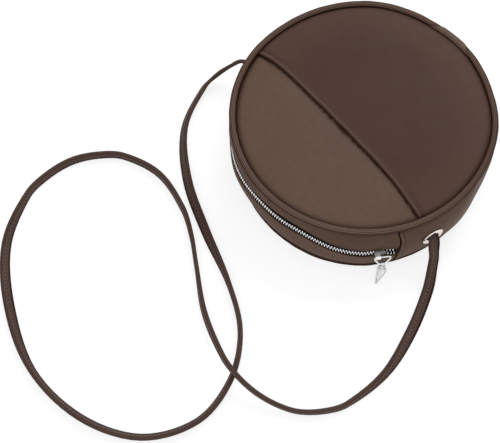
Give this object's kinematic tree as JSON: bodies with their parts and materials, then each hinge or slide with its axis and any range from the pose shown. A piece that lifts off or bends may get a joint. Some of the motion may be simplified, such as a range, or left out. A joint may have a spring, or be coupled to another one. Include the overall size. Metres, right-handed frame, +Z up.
{
  "type": "round crossbody bag",
  "caption": "Small round leather crossbody bag with piped edges, a slip pocket on the front, a curved top zip with a ring pull, and a long folded strap held by eyelets.",
  "frame": {"origin": "centre of the bag's footprint on the table, where its back rests", "axes": "+Z up through the front panel, -Y towards the middle of the zip, +X towards the end of the zip where the slider sits when closed"},
  "size_m": [0.2838, 0.3861, 0.0634],
  "materials": {
    "panel_leather": "smooth matte leather, dark brown",
    "welt_leather": "smooth matte leather, turned over a cord, dark brown",
    "strap_leather": "folded and stitched leather, dark brown",
    "lining_cloth": "plain woven cloth, nearly black brown",
    "zip_tape": "woven tape, dark brown",
    "foam": "soft closed foam sheet",
    "welt_cord": "twisted cotton cord",
    "zip_metal": "bright plated metal",
    "eyelet_metal": "bright plated metal"
  },
  "bodies": {
    "bag": {"back_panel": "panel_leather", "back_foam": "foam", "back_lining": "lining_cloth", "back_welt": "welt_leather", "back_welt_cord": "welt_cord", "side_panel": "panel_leather", "side_lining": "lining_cloth", "zip_strip_back": "panel_leather", "zip_lining_back": "lining_cloth", "zip_tape_back": "zip_tape", "zip_teeth_back": "zip_metal", "front_panel": "panel_leather", "front_foam": "foam", "front_lining": "lining_cloth", "front_welt": "welt_leather", "front_welt_cord": "welt_cord", "pocket_panel": "panel_leather", "pocket_lining": "lining_cloth", "eyelets": "eyelet_metal", "eyelet_washers": "eyelet_metal", "strap": "strap_leather", "strap_knots": "strap_leather"},
    "mouth": {"zip_strip_front": "panel_leather", "zip_lining_front": "lining_cloth", "zip_tape_front": "zip_tape", "zip_teeth_front": "zip_metal", "front_panel_flap": "panel_leather", "front_foam_flap": "foam", "front_lining_flap": "lining_cloth", "front_welt_flap": "welt_leather", "front_welt_cord_flap": "welt_cord"},
    "slider": {"slider_body": "zip_metal"},
    "ring": {"pull_ring": "zip_metal"},
    "tag": {"pull_tag": "zip_metal"}
  },
  "joints": [
    {"name": "zip_travel", "type": "hinge", "parent": "bag", "child": "slider", "pos_m": [0, 0, 0.0285], "axis": [0, 0, 1], "range_deg": [-110, 0], "deforming": ["zip_teeth_back", "zip_tape_back", "zip_teeth_front", "zip_tape_front"]},
    {"name": "mouth_open", "type": "hinge", "parent": "bag", "child": "mouth", "pos_m": [0, -0.04414, 0.0605], "axis": [-1, 0, 0], "range_deg": [0, 30]},
    {"name": "ring_swing", "type": "hinge", "parent": "slider", "child": "ring", "pos_m": [0.07996, -0.05703, 0.0285], "axis": [-0.5807, -0.8141, 0], "range_deg": [-5, 110]},
    {"name": "tag_swing", "type": "hinge", "parent": "ring", "child": "tag", "pos_m": [0.07996, -0.05703, 0.0175], "axis": [-0.5807, -0.8141, 0], "range_deg": [-20, 60]}
  ],
  "couplings": [
    {"joint": "mouth_open", "follows": "zip_travel", "ratio": -0.27273}
  ]
}
